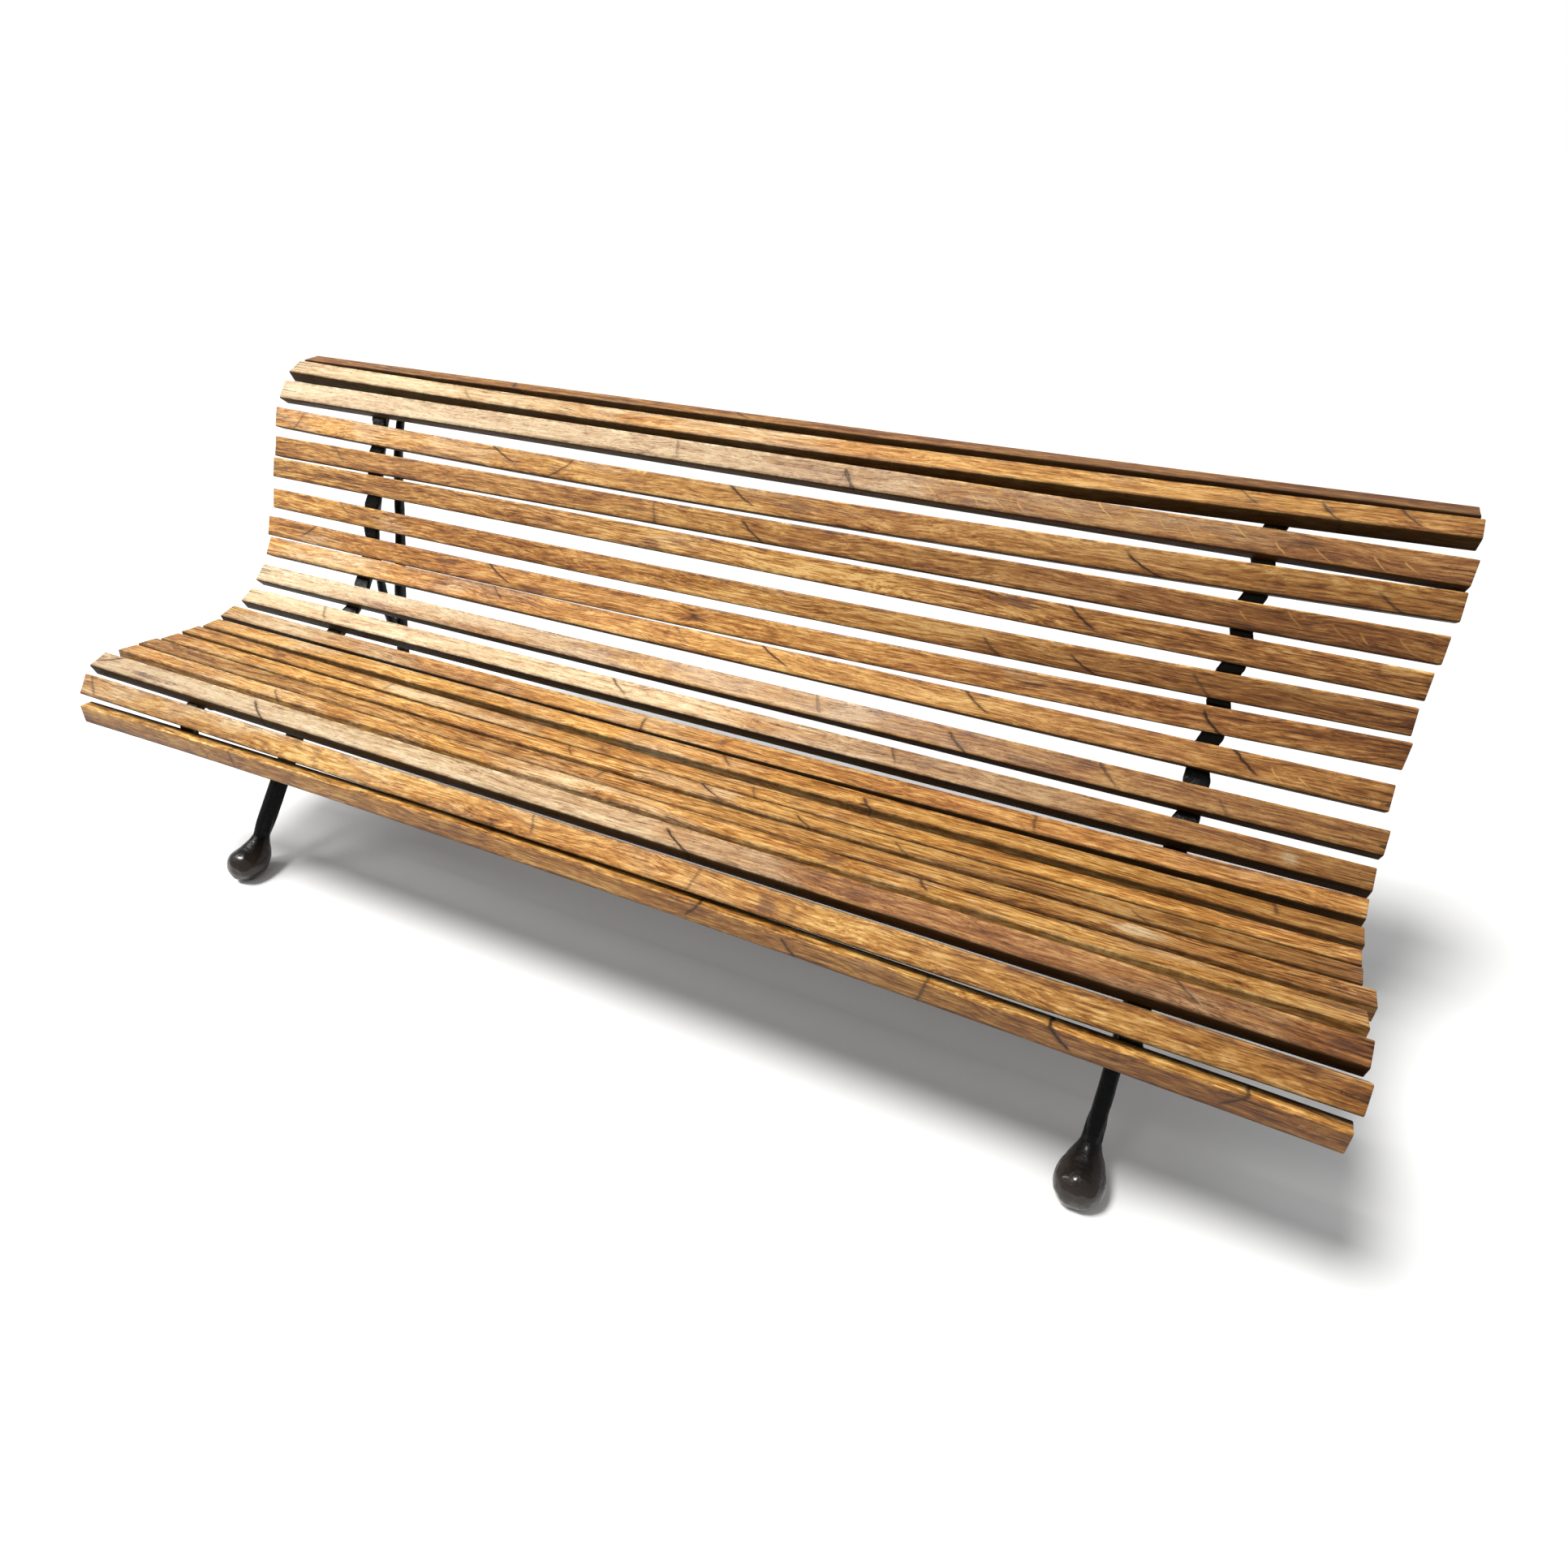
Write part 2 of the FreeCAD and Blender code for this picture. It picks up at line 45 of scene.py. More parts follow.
# How each board looks. Places are in metres from the bench's middle, and v is up the face.
# pale: how pale the face is at the left end, the middle and the right end, partly bleached wood and
# partly a painted sheen of the varnish.
# deep: how dark the face is at the same three places, fitted to the photo's median brightness there
# and rounded, so it holds some of the photo's light and not only the wood's own colour.
# under: how dark the lower side is painted, as shade. tint: from yellow (0) to red-brown (1).
# rough: how much the grain stands out. knots: (x, v, size).
# cracks: (x at the upper arris, x at the lower arris, strength).
# stains: (x, v, half length, half width, strength), darker when strength is positive and
# bleached when it is negative. flecks: stretches where pale rays cross the grain.
BOARDS = {
    "top_slat_rear": dict(deep=(0.60, 0.50, 1.15),
                          pale=(0.10, 0.05, 0.00), tint=0.75, rough=0.4,
                          cracks=((-0.56, -0.54, 0.6), (-0.07, -0.03, 0.8)),
                          stains=((-0.30, 0.01, 0.20, 0.012, 0.6), (0.35, 0.0, 0.25, 0.012, 0.5))),
    "top_slat_front": dict(deep=(0.55, 0.05, 0.60),
                           pale=(0.85, 0.35, 0.05), tint=0.50, rough=0.2,
                           cracks=((-0.640, -0.600, 0.4), (0.790, 0.820, 0.5), (0.900, 0.930, 0.7),
                                   (1.000, 1.030, 0.7)),
                           stains=((-0.25, -0.004, 0.030, 0.010, 0.4),
                                   (0.80, 0.0, 0.10, 0.02, 0.3))),
    "back_slat_1": dict(deep=(0.55, 0.55, 0.85),
                        pale=(1.00, 0.60, 0.00), tint=0.50, rough=0.2, flecks=((0.30, 1.08),),
                        cracks=((-0.140, -0.130, 0.4), (0.185, 0.210, 0.8)),
                        stains=((-1.00, 0.005, 0.10, 0.015, 0.25),
                                (-0.30, 0.0, 0.25, 0.02, -0.6))),
    "back_slat_2": dict(deep=(0.05, 0.45, 0.90),
                        pale=(0.35, 0.15, 0.00), tint=0.40, rough=0.3,
                        cracks=((-0.530, -0.470, 0.9), (-0.340, -0.400, 0.5), (-0.015, 0.035, 0.9),
                                (0.660, 0.720, 1.0), (1.000, 1.040, 0.7), (-1.02, -1.05, 0.4)),
                        stains=((-0.38, -0.005, 0.030, 0.012, 0.6),
                                (-0.20, -0.010, 0.035, 0.012, 0.8),
                                (0.28, 0.016, 0.10, 0.006, 0.5))),
    "back_slat_3": dict(deep=(0.50, 0.55, 1.10),
                        pale=(0.00, 0.00, 0.00), tint=0.45, rough=0.5, flecks=((0.84, 1.06),),
                        cracks=((-0.930, -0.900, 0.4), (0.020, 0.070, 0.9), (-0.160, -0.150, 0.4)),
                        stains=((-0.75, 0.0, 0.025, 0.020, 0.5), (0.34, 0.004, 0.02, 0.014, 0.6),
                                (-0.20, -0.005, 0.15, 0.012, 0.35),
                                (0.62, 0.0, 0.25, 0.02, 0.25))),
    "back_slat_4": dict(deep=(0.55, 0.35, 0.85),
                        pale=(0.00, 0.15, 0.05), tint=0.35, rough=0.9,
                        cracks=((0.600, 0.650, 0.9),),
                        stains=((0.52, 0.010, 0.040, 0.010, 1.0), (-0.40, 0.0, 0.06, 0.015, 0.4),
                                (-0.85, -0.006, 0.10, 0.010, 0.3))),
    "back_slat_5": dict(deep=(0.25, 0.35, 1.15),
                        pale=(0.10, 0.05, 0.00), tint=0.40, rough=0.6,
                        cracks=((-0.905, -0.870, 0.5), (0.480, 0.515, 0.6), (0.620, 0.670, 0.9),
                                (0.800, 0.835, 0.5)),
                        stains=((-0.60, 0.008, 0.030, 0.014, 0.5),
                                (-0.38, -0.006, 0.10, 0.012, 0.6),
                                (-0.45, 0.010, 0.10, 0.006, 0.4),
                                (-0.75, -0.006, 0.05, 0.01, -0.5))),
    "back_slat_6": dict(deep=(0.35, 0.10, 0.80),
                        pale=(0.10, 0.05, 0.00), tint=0.60, rough=0.4,
                        cracks=((-0.965, -1.010, 0.7), (-0.505, -0.450, 1.0), (0.830, 0.865, 1.0)),
                        stains=((-0.62, 0.004, 0.07, 0.012, 0.7),
                                (-0.40, -0.012, 0.06, 0.007, 1.0),
                                (-0.23, -0.010, 0.02, 0.008, 0.5), (0.98, 0.0, 0.15, 0.02, 0.3)),
                        knots=((-0.040, 0.002, 0.0075),)),
    "back_slat_7": dict(deep=(0.00, 0.00, 0.75),
                        pale=(0.35, 0.10, 0.00), tint=0.45, rough=0.3, flecks=((0.95, 1.07),),
                        cracks=((-0.490, -0.460, 0.6), (-0.075, -0.045, 0.4), (0.100, 0.160, 1.0),
                                (0.470, 0.520, 0.8), (0.885, 0.925, 1.0)),
                        stains=((-0.30, -0.01, 0.03, 0.008, 0.3),
                                (0.25, 0.006, 0.15, 0.012, 0.3))),
    "back_slat_8": dict(deep=(0.50, 0.45, 1.00),
                        pale=(1.00, 0.45, 0.00), tint=0.45, rough=0.5,
                        cracks=((0.220, 0.235, 0.5), (0.460, 0.500, 0.8), (0.700, 0.735, 0.6),
                                (0.880, 0.900, 0.4)),
                        stains=((-0.80, -0.010, 0.16, 0.005, 0.6),
                                (-0.50, -0.012, 0.12, 0.005, 0.5),
                                (-0.18, 0.0, 0.07, 0.008, 0.4))),
    "back_slat_9": dict(deep=(0.45, 0.25, 1.00),
                        pale=(1.00, 0.60, 0.10), tint=0.45, rough=0.3,
                        cracks=((-0.885, -0.860, 0.5), (-0.170, -0.125, 0.7), (0.380, 0.395, 0.5)),
                        stains=((0.17, -0.002, 0.05, 0.006, 0.3), (0.76, -0.006, 0.02, 0.010, 0.8),
                                (0.93, 0.0, 0.12, 0.018, 0.6), (0.99, 0.0, 0.014, 0.012, -1.6))),
    "seat_slat_1": dict(deep=(0.60, 0.15, 0.40),
                        pale=(0.45, 0.25, 0.05), tint=0.60, rough=0.3,
                        cracks=((-0.055, -0.050, 0.7), (0.640, 0.645, 0.6)),
                        stains=((0.10, 0.0, 0.020, 0.020, 0.45), (0.38, 0.0, 0.22, 0.02, 0.4),
                                (-0.92, 0.0, 0.07, 0.02, -0.7))),
    "seat_slat_2": dict(deep=(0.40, 0.00, 0.80),
                        under=0.75, pale=(0.30, 0.30, 0.00), tint=0.35, rough=0.4,
                        cracks=((0.120, 0.145, 0.6), (0.380, 0.402, 0.8), (0.985, 0.990, 0.6)),
                        stains=((-0.75, -0.008, 0.12, 0.012, 0.45),
                                (0.45, 0.008, 0.10, 0.006, 0.4)),
                        knots=((0.385, -0.012, 0.006),)),
    "seat_slat_3": dict(deep=(0.25, 0.15, 0.20),
                        under=0.8, pale=(0.10, 0.20, 0.05), tint=0.45, rough=0.5,
                        cracks=((-0.550, -0.545, 0.4), (0.215, 0.235, 0.4)),
                        stains=((-0.83, 0.0, 0.015, 0.010, 1.0), (-0.98, 0.0, 0.10, 0.015, 0.4),
                                (-0.14, 0.0, 0.035, 0.018, 0.45), (-0.06, 0.0, 0.025, 0.018, 0.6),
                                (-0.42, 0.0, 0.12, 0.02, -0.7)), knots=((0.050, -0.008, 0.004),)),
    "seat_slat_4": dict(deep=(0.00, 0.00, 1.05),
                        under=0.6, pale=(0.10, 0.25, 0.05), tint=0.40, rough=0.8,
                        cracks=((-0.120, -0.095, 0.5), (0.135, 0.185, 1.0), (0.310, 0.345, 0.8),
                                (0.470, 0.500, 0.5), (0.810, 0.840, 0.5)),
                        stains=((0.01, -0.012, 0.010, 0.008, 0.8), (0.88, 0.0, 0.035, 0.015, 0.9),
                                (0.60, 0.01, 0.15, 0.008, 0.5))),
    "seat_slat_5": dict(deep=(0.70, 0.25, 0.70),
                        under=0.55, pale=(0.15, 0.10, 0.05), tint=0.55, rough=1.0,
                        cracks=((-0.020, -0.022, 0.5),),
                        stains=((0.82, 0.0, 0.035, 0.012, -1.5), (-0.90, 0.0, 0.15, 0.015, 0.5),
                                (0.20, 0.01, 0.20, 0.008, 0.4))),
    "seat_slat_6": dict(deep=(0.00, 0.00, 0.60),
                        under=0.5, pale=(0.25, 0.35, 0.10), tint=0.40, rough=0.6,
                        cracks=((-0.700, -0.655, 0.6), (0.535, 0.555, 0.7)),
                        stains=((-0.53, 0.0, 0.010, 0.020, 0.5), (0.34, 0.0, 0.015, 0.018, 0.7),
                                (0.41, -0.002, 0.022, 0.020, 1.1),
                                (0.05, -0.012, 0.05, 0.006, 0.4)),
                        knots=((0.950, -0.004, 0.005),)),
    "seat_slat_7": dict(deep=(0.75, 0.45, 0.85),
                        under=0.93, pale=(1.00, 0.60, 0.10), tint=0.80, rough=0.4,
                        cracks=((-0.690, -0.640, 0.9), (0.160, 0.215, 1.0), (0.880, 0.915, 0.5),
                                (-1.04, -1.10, 0.8)),
                        stains=((0.48, 0.0, 0.12, 0.015, 0.6), (1.07, 0.0, 0.03, 0.014, 0.9),
                                (-0.95, -0.005, 0.10, 0.004, 0.9),
                                (-0.28, 0.004, 0.10, 0.012, -0.5))),
    "seat_slat_8": dict(deep=(0.60, 0.10, 0.75),
                        pale=(0.55, 0.30, 0.00), tint=0.35, rough=0.4,
                        cracks=((-1.080, -1.060, 0.6), (-0.058, -0.052, 0.5), (0.235, 0.220, 0.4)),
                        stains=((-0.62, -0.008, 0.035, 0.014, 0.8),
                                (-0.55, -0.002, 0.012, 0.02, 0.7),
                                (-0.50, -0.004, 0.014, 0.020, 0.6),
                                (0.345, -0.004, 0.02, 0.016, 1.0),
                                (0.385, 0.0, 0.008, 0.018, 0.7), (0.96, 0.0, 0.05, 0.008, 0.4))),
    "seat_slat_9": dict(deep=(0.90, 0.65, 1.10),
                        pale=(0.10, 0.05, 0.00), tint=0.25, rough=0.5,
                        cracks=((0.250, 0.225, 0.8), (0.380, 0.410, 0.8), (0.590, 0.580, 0.6),
                                (0.750, 0.785, 1.0), (0.990, 0.960, 0.8), (-0.70, -0.69, 0.5)),
                        stains=((-0.30, 0.0, 0.20, 0.012, 0.3), (-0.95, 0.0, 0.06, 0.01, 0.4))),
}

RING_ARC_STEPS = 4
RING_FACE_STEPS = 7
RING_SIDE_STEPS = 3
BOARD_STEP = 0.008
FACE_ARRIS = 0.0021
BACK_ARRIS = 0.0016
# Extra rounding at mid-length of the two front boards, whose backs nearly meet there.
SNUG_BOARDS = ("seat_slat_8", "seat_slat_9")
SNUG_ARRIS = 0.0022
END_ARRIS = 0.0016
DEFAULT_UNDER = 0.93


def mesh_points(obj):
    points = np.empty(len(obj.data.vertices) * 3)
    obj.data.vertices.foreach_get("co", points)
    return points.reshape(-1, 3)


def board_place(node):
    """Where a CAD board is: matrix, (length, width, thickness) and its bend's quadratic.

    Local x runs along the board, y up its face and z out of the face."""
    points = mesh_points(CAD[node])
    yz = points[:, 1:]
    best = None
    for angle in np.radians(np.arange(0.0, 90.0, 0.1)):
        a = yz @ np.array([math.cos(angle), math.sin(angle)])
        b = yz @ np.array([-math.sin(angle), math.cos(angle)])
        area = np.ptp(a) * np.ptp(b)
        if best is None or area < best[0]:
            best = (area, angle, np.ptp(a), np.ptp(b))
    _, angle, size_a, size_b = best
    ends = []
    for sign in (-1.0, 1.0):
        reach = (points[:, 0] * sign).max()
        end = points[points[:, 0] * sign > reach - 0.0025]
        ends.append((end.max(0) + end.min(0)) / 2.0)
    along = Vector(ends[1] - ends[0]).normalized()
    across = Vector((0.0, math.cos(angle), math.sin(angle)))
    if size_b > size_a:
        across = Vector((0.0, -math.sin(angle), math.cos(angle)))
    out = along.cross(across).normalized()
    if out.dot(Vector((0.0, -0.5, 1.0))) < 0.0:
        out = -out
    across = out.cross(along)
    middle = (ends[0] + ends[1]) / 2.0
    local = (points - middle) @ np.array([along, across, out]).T
    place = Matrix((along, across, out)).transposed().to_4x4()
    shift = (local[:, 2].max() + local[:, 2].min()) / 2.0
    place.translation = Vector(middle) + out * shift

    centres, widths = [], []
    for x in np.unique(np.round(local[:, 0], 2)):
        group = local[abs(local[:, 0] - x) < 0.008, 1]
        if np.ptp(group) > 0.03:
            centres.append((x, (group.max() + group.min()) / 2.0))
            widths.append(np.ptp(group))
    centres = np.array(centres)
    bend = np.polyfit(centres[:, 0], centres[:, 1], 2)
    size = (np.ptp(local[:, 0]), float(np.median(widths)), np.ptp(local[:, 2]))
    return place, size, bend


def wander(x, rng, amplitude, wavelengths):
    """Smooth seeded noise along a line, as a few sines of falling weight."""
    total = np.zeros_like(x)
    for order, wavelength in enumerate(wavelengths):
        total = total + np.sin(2.0 * math.pi * (x / wavelength + rng.random())) / (order + 1.0)
    return amplitude * total / len(wavelengths)


def ring(width, thickness, front, back):
    """One cross-section as (y, z, edge), with edge 1 on the rounded arrises and 0 on the flats.

    Front and back are the radii of the arrises beside the face and beside the back."""
    points = []
    half_y, half_z = width / 2.0, thickness / 2.0
    corners = ((1.0, 1.0, 0, front), (-1.0, 1.0, 90, front),
               (-1.0, -1.0, 180, back), (1.0, -1.0, 270, back))
    for number, (side_y, side_z, start, radius) in enumerate(corners):
        cy, cz = side_y * (half_y - radius), side_z * (half_z - radius)
        for step in range(RING_ARC_STEPS + 1):
            angle = math.radians(start + 90.0 * step / RING_ARC_STEPS)
            points.append((cy + radius * math.cos(angle), cz + radius * math.sin(angle), 1.0))
        next_y, next_z, next_start, next_radius = corners[(number + 1) % 4]
        steps = RING_FACE_STEPS if number % 2 == 0 else RING_SIDE_STEPS
        turn = math.radians(next_start)
        y0, z0 = points[-1][:2]
        y1 = next_y * (half_y - next_radius) + next_radius * math.cos(turn)
        z1 = next_z * (half_z - next_radius) + next_radius * math.sin(turn)
        for step in range(1, steps):
            t = step / steps
            fade = max(0.0, 1.0 - min(t, 1.0 - t) * (8.0 if number % 2 == 0 else 4.0))
            points.append((y0 + (y1 - y0) * t, z0 + (z1 - z0) * t, 0.6 * fade))
    return np.array(points)


def board_mesh(node, size, bend, seed):
    rng = np.random.default_rng(seed)
    length, width, thickness = size
    inset = END_ARRIS
    body = np.arange(0.006, length - 0.006, BOARD_STEP)
    tip = np.array([0.0, 0.0006, 0.0016, 0.0032])
    u = np.concatenate([tip, body, length - tip[::-1]])
    near = np.minimum(u, length - u)
    shrink = inset - np.sqrt(np.maximum(0.0, inset ** 2 - np.maximum(inset - near, 0.0) ** 2))
    u = u - length / 2.0
    front = FACE_ARRIS * (1.0 + wander(u, rng, 0.55, (0.9, 0.31, 0.13, 0.05)))
    snug = 1.0 - (2.0 * u / length) ** 2 if node in SNUG_BOARDS else 0.0 * u
    back = BACK_ARRIS + SNUG_ARRIS * snug
    cup = wander(u, rng, 0.0004, (1.6, 0.5))
    thin = wander(u, rng, 0.0004, (1.1, 0.42, 0.17, 0.03))
    narrow = wander(u, rng, 0.0008, (1.4, 0.37, 0.11, 0.025))
    rings = []
    for i in range(len(u)):
        section = ring(width - 0.0004 + narrow[i] - 2.0 * shrink[i],
                       thickness - 0.0006 + thin[i] - 2.0 * shrink[i],
                       max(0.0012, front[i] - 0.4 * shrink[i]), back[i])
        section[:, 1] += cup[i] * np.cos(section[:, 0] / width * 2.0 * math.pi)
        rings.append(section)
    count = len(rings[0])
    yz = np.array(rings)
    skew = rng.uniform(-0.0012, 0.0012, 2)
    x = np.repeat(u[:, None], count, 1)
    end_weight = np.clip(1.0 - near / 0.02, 0.0, 1.0)[:, None]
    tilt = np.where(u[:, None] < 0.0, skew[0], skew[1])
    x = x + end_weight * (tilt * yz[:, :, 0] / (width / 2.0) - np.sign(u)[:, None] * abs(tilt))
    co = np.stack([x, yz[:, :, 0], yz[:, :, 1]], -1).reshape(-1, 3)
    bent = co.copy()
    bent[:, 1] += np.polyval(bend, co[:, 0])
    faces = []
    for i in range(len(u) - 1):
        for j in range(count):
            k = (j + 1) % count
            faces.append((i * count + j, i * count + k, (i + 1) * count + k, (i + 1) * count + j))
    faces.append(tuple(range(count - 1, -1, -1)))
    faces.append(tuple((len(u) - 1) * count + j for j in range(count)))
    mesh = bpy.data.meshes.new(node + "_wood")
    mesh.from_pydata(bent.tolist(), [], faces)
    mesh.materials.append(OAK)
    mesh.materials.append(OAK_END)
    for polygon in mesh.polygons:
        is_end = len(polygon.vertices) > 4
        polygon.use_smooth = not is_end
        polygon.material_index = 1 if is_end else 0
    paint_board(mesh, node, co, yz[:, :, 2].reshape(-1), length, width, rng)
    return mesh


def nearest_mark(u, v, marks, reach):
    """Signed distance along the board to the nearest mark, and how strong the mark is there.

    A mark is (x at the top, x at the bottom, v at the top, v at the bottom, strength), and it
    bends towards the bottom. Its strength fades out beyond the reach."""
    best = np.full(len(u), 9.0)
    weight = np.zeros(len(u))
    for top_x, bottom_x, top_v, bottom_v, strength in marks:
        t = np.clip((top_v - v) / (top_v - bottom_v), 0.0, 1.0)
        distance = u - (top_x + (bottom_x - top_x) * t ** 1.35)
        inside = np.clip((v - bottom_v) / 0.004, 0.0, 1.0) * np.clip((top_v - v) / 0.004, 0.0, 1.0)
        nearer = abs(distance) < abs(best)
        best = np.where(nearer, distance, best)
        weight = np.where(nearer, strength * inside, weight)
    return best, weight * np.clip((reach - abs(best)) / (reach * 0.4), 0.0, 1.0)


def crack_marks(rng, cracks, width):
    marks = []
    for top, bottom, strength in cracks:
        short = rng.random() < 0.35
        high = rng.uniform(0.2, 0.8) * width / 2.0 if short and top < bottom else width
        low = -rng.uniform(0.3, 0.8) * width / 2.0 if not short else -width
        marks.append((top, bottom, min(high, 0.022), max(low, -0.022), strength))
    return marks


def fleck_marks(rng, stretches):
    marks = []
    for start, end in stretches:
        place = start
        while place < end:
            middle = rng.uniform(-0.009, 0.009)
            half = rng.uniform(0.005, 0.013)
            lean = rng.uniform(0.8, 1.6) * half
            marks.append((place - lean, place + lean, middle + half, middle - half,
                          rng.uniform(0.5, 1.0)))
            place += rng.uniform(0.030, 0.075)
    return marks


def end_checks(u, v, length, rng):
    """Splits that run in from the board's ends: distance across the grain, and strength."""
    distance = np.full(len(u), 9.0)
    weight = np.zeros(len(u))
    for end in (-1.0, 1.0):
        for _ in range(rng.integers(1, 4)):
            reach = rng.uniform(0.02, 0.11)
            depth = length / 2.0 - end * u
            line = rng.uniform(-0.015, 0.015) + rng.uniform(-0.04, 0.04) * depth
            here = v - line
            nearer = (abs(here) < abs(distance)) & (depth < reach)
            distance = np.where(nearer, here, distance)
            weight = np.where(nearer, np.clip((reach - depth) / reach, 0.0, 1.0), weight)
    return distance, weight


def paint_board(mesh, node, co, edge, length, width, rng):
    """Stores what the wood's shader reads: where the grain runs, cracks, knots, tone, painted sheen
    and painted shade.
    """
    look = BOARDS[node]
    u, v, w = co[:, 0], co[:, 1], co[:, 2]
    nothing = np.zeros(len(u))
    store(mesh, "grain", co + rng.uniform(-40.0, 40.0, 3))
    cracks = crack_marks(rng, look["cracks"], width)
    flecks = fleck_marks(rng, look.get("flecks", ()))
    store(mesh, "crack", np.stack([*nearest_mark(u, v, cracks, 0.035), nothing], -1))
    store(mesh, "fleck", np.stack([*nearest_mark(u, v, flecks, 0.016), nothing], -1))
    store(mesh, "check", np.stack([*end_checks(u, v, length, rng), nothing], -1))
    knots = look.get("knots", ((9.0, 0.0, 0.005),))
    offsets = np.array([[u - k[0], v - k[1], np.full(len(u), k[2])] for k in knots])
    nearest = np.argmin(np.hypot(offsets[:, 0], offsets[:, 1]), 0)
    store(mesh, "knot", offsets[nearest, :, np.arange(len(u))])
    stain = nothing.copy()
    for x, y, half_length, half_width, strength in look["stains"]:
        spread = ((u - x) / half_length) ** 2 + ((v - y) / half_width) ** 2
        stain += strength * np.exp(-0.7 * spread)
    # Painted sheen: the paleness, strongest at the left ends, stands for the varnish's glare as
    # well as bleached wood.
    pale = np.interp(u, (-1.1, 0.0, 1.1), look["pale"]) + wander(u, rng, 0.18, (0.8, 0.3, 0.11))
    deep = np.interp(u, (-1.1, 0.0, 1.1), look["deep"])
    tint = look["tint"] + wander(u, rng, 0.35, (1.3, 0.45, 0.2))
    # Painted shade: the lower side and the back are darkened, and so is the rear of the upper side,
    # where the next board overhangs it.
    under = np.clip((-v - width / 2.0 + 0.003) / 0.002, 0.0, 1.0) * look.get("under", DEFAULT_UNDER)
    under = np.maximum(under, 0.9 * np.clip((-w - 0.0085) / 0.002, 0.0, 1.0))
    above = np.clip((v - width / 2.0 + 0.003) / 0.002, 0.0, 1.0)
    under = np.maximum(under, 0.95 * above * np.clip((-w - 0.002) / 0.003, 0.0, 1.0))
    deep = deep * (1.0 - above)
    store(mesh, "tone", np.stack([np.clip(pale, 0, 1), np.clip(tint, 0, 1), edge], -1))
    store(mesh, "shade_and_wear", np.stack([under, np.full(len(u), look["rough"]), stain], -1))
    store(mesh, "depth", np.stack([np.clip(deep, -0.3, 1.2), nothing, nothing], -1))


def store(mesh, name, values):
    attribute = mesh.attributes.new(name, "FLOAT_VECTOR", "POINT")
    attribute.data.foreach_set("vector", np.asarray(values, np.float32).ravel())


# ---------------------------------------------------------------- shaders

class Shader:
    """Short way to write a node tree: each call adds one node and returns its output."""

    def __init__(self, name):
        self.material = bpy.data.materials.new(name)
        self.material.use_nodes = True
        self.tree = self.material.node_tree
        self.tree.nodes.clear()

    def add(self, kind, output=0, inputs=None, **settings):
        made = self.tree.nodes.new("ShaderNode" + kind)
        for key, value in settings.items():
            setattr(made, key, value)
        for key, value in (inputs or {}).items():
            socket = made.inputs[key]
            if isinstance(value, bpy.types.NodeSocket):
                self.tree.links.new(value, socket)
            else:
                socket.default_value = value
        return made.outputs[output]

    def attribute(self, name):
        return self.add("Attribute", 1, attribute_name=name)

    def split(self, vector):
        made = self.add("SeparateXYZ", inputs={0: vector}).node
        return made.outputs

    def join(self, x=0.0, y=0.0, z=0.0):
        return self.add("CombineXYZ", inputs={0: x, 1: y, 2: z})

    def math(self, operation, a, b=0.0, c=0.0, clamp=False):
        return self.add("Math", inputs={0: a, 1: b, 2: c}, operation=operation, use_clamp=clamp)

    def scaled(self, vector, x, y, z):
        return self.add("VectorMath", inputs={0: vector, 1: (x, y, z)}, operation="MULTIPLY")

    def noise(self, vector, scale=1.0, detail=3.0, rough=0.5, warp=0.0):
        return self.add("TexNoise", inputs={"Vector": vector, "Scale": scale, "Detail": detail,
                                            "Roughness": rough, "Distortion": warp})

    def range(self, value, low, high, to_low=0.0, to_high=1.0, smooth=True):
        kind = "SMOOTHSTEP" if smooth else "LINEAR"
        return self.add("MapRange", inputs={0: value, 1: low, 2: high, 3: to_low, 4: to_high},
                        interpolation_type=kind)

    def mix(self, factor, a, b, blend="MIX"):
        made = self.tree.nodes.new("ShaderNodeMix")
        made.data_type = "RGBA"
        made.blend_type = blend
        for index, value in ((0, factor), (6, a), (7, b)):
            if isinstance(value, bpy.types.NodeSocket):
                self.tree.links.new(value, made.inputs[index])
            elif index == 0:
                made.inputs[0].default_value = value
            else:
                made.inputs[index].default_value = (*value, 1.0)
        return made.outputs[2]

    def ramp(self, value, stops):
        """Colour ramp through (position, colour) stops."""
        node = self.tree.nodes.new("ShaderNodeValToRGB")
        elements = node.color_ramp.elements
        while len(elements) < len(stops):
            elements.new(0.5)
        for element, (position, color) in zip(elements, stops):
            element.position = position
            element.color = (*color, 1.0)
        self.tree.links.new(value, node.inputs[0])
        return node.outputs[0]

    def bump(self, height, strength, distance, normal=None):
        inputs = {"Height": height, "Strength": strength, "Distance": distance}
        if normal is not None:
            inputs["Normal"] = normal
        return self.add("Bump", inputs=inputs)

    def finish(self, **sockets):
        surface = self.tree.nodes.new("ShaderNodeBsdfPrincipled")
        for name, value in sockets.items():
            socket = surface.inputs[name.replace("_", " ")]
            if isinstance(value, bpy.types.NodeSocket):
                self.tree.links.new(value, socket)
            else:
                socket.default_value = value
        output = self.tree.nodes.new("ShaderNodeOutputMaterial")
        self.tree.links.new(surface.outputs[0], output.inputs[0])
        return self.material


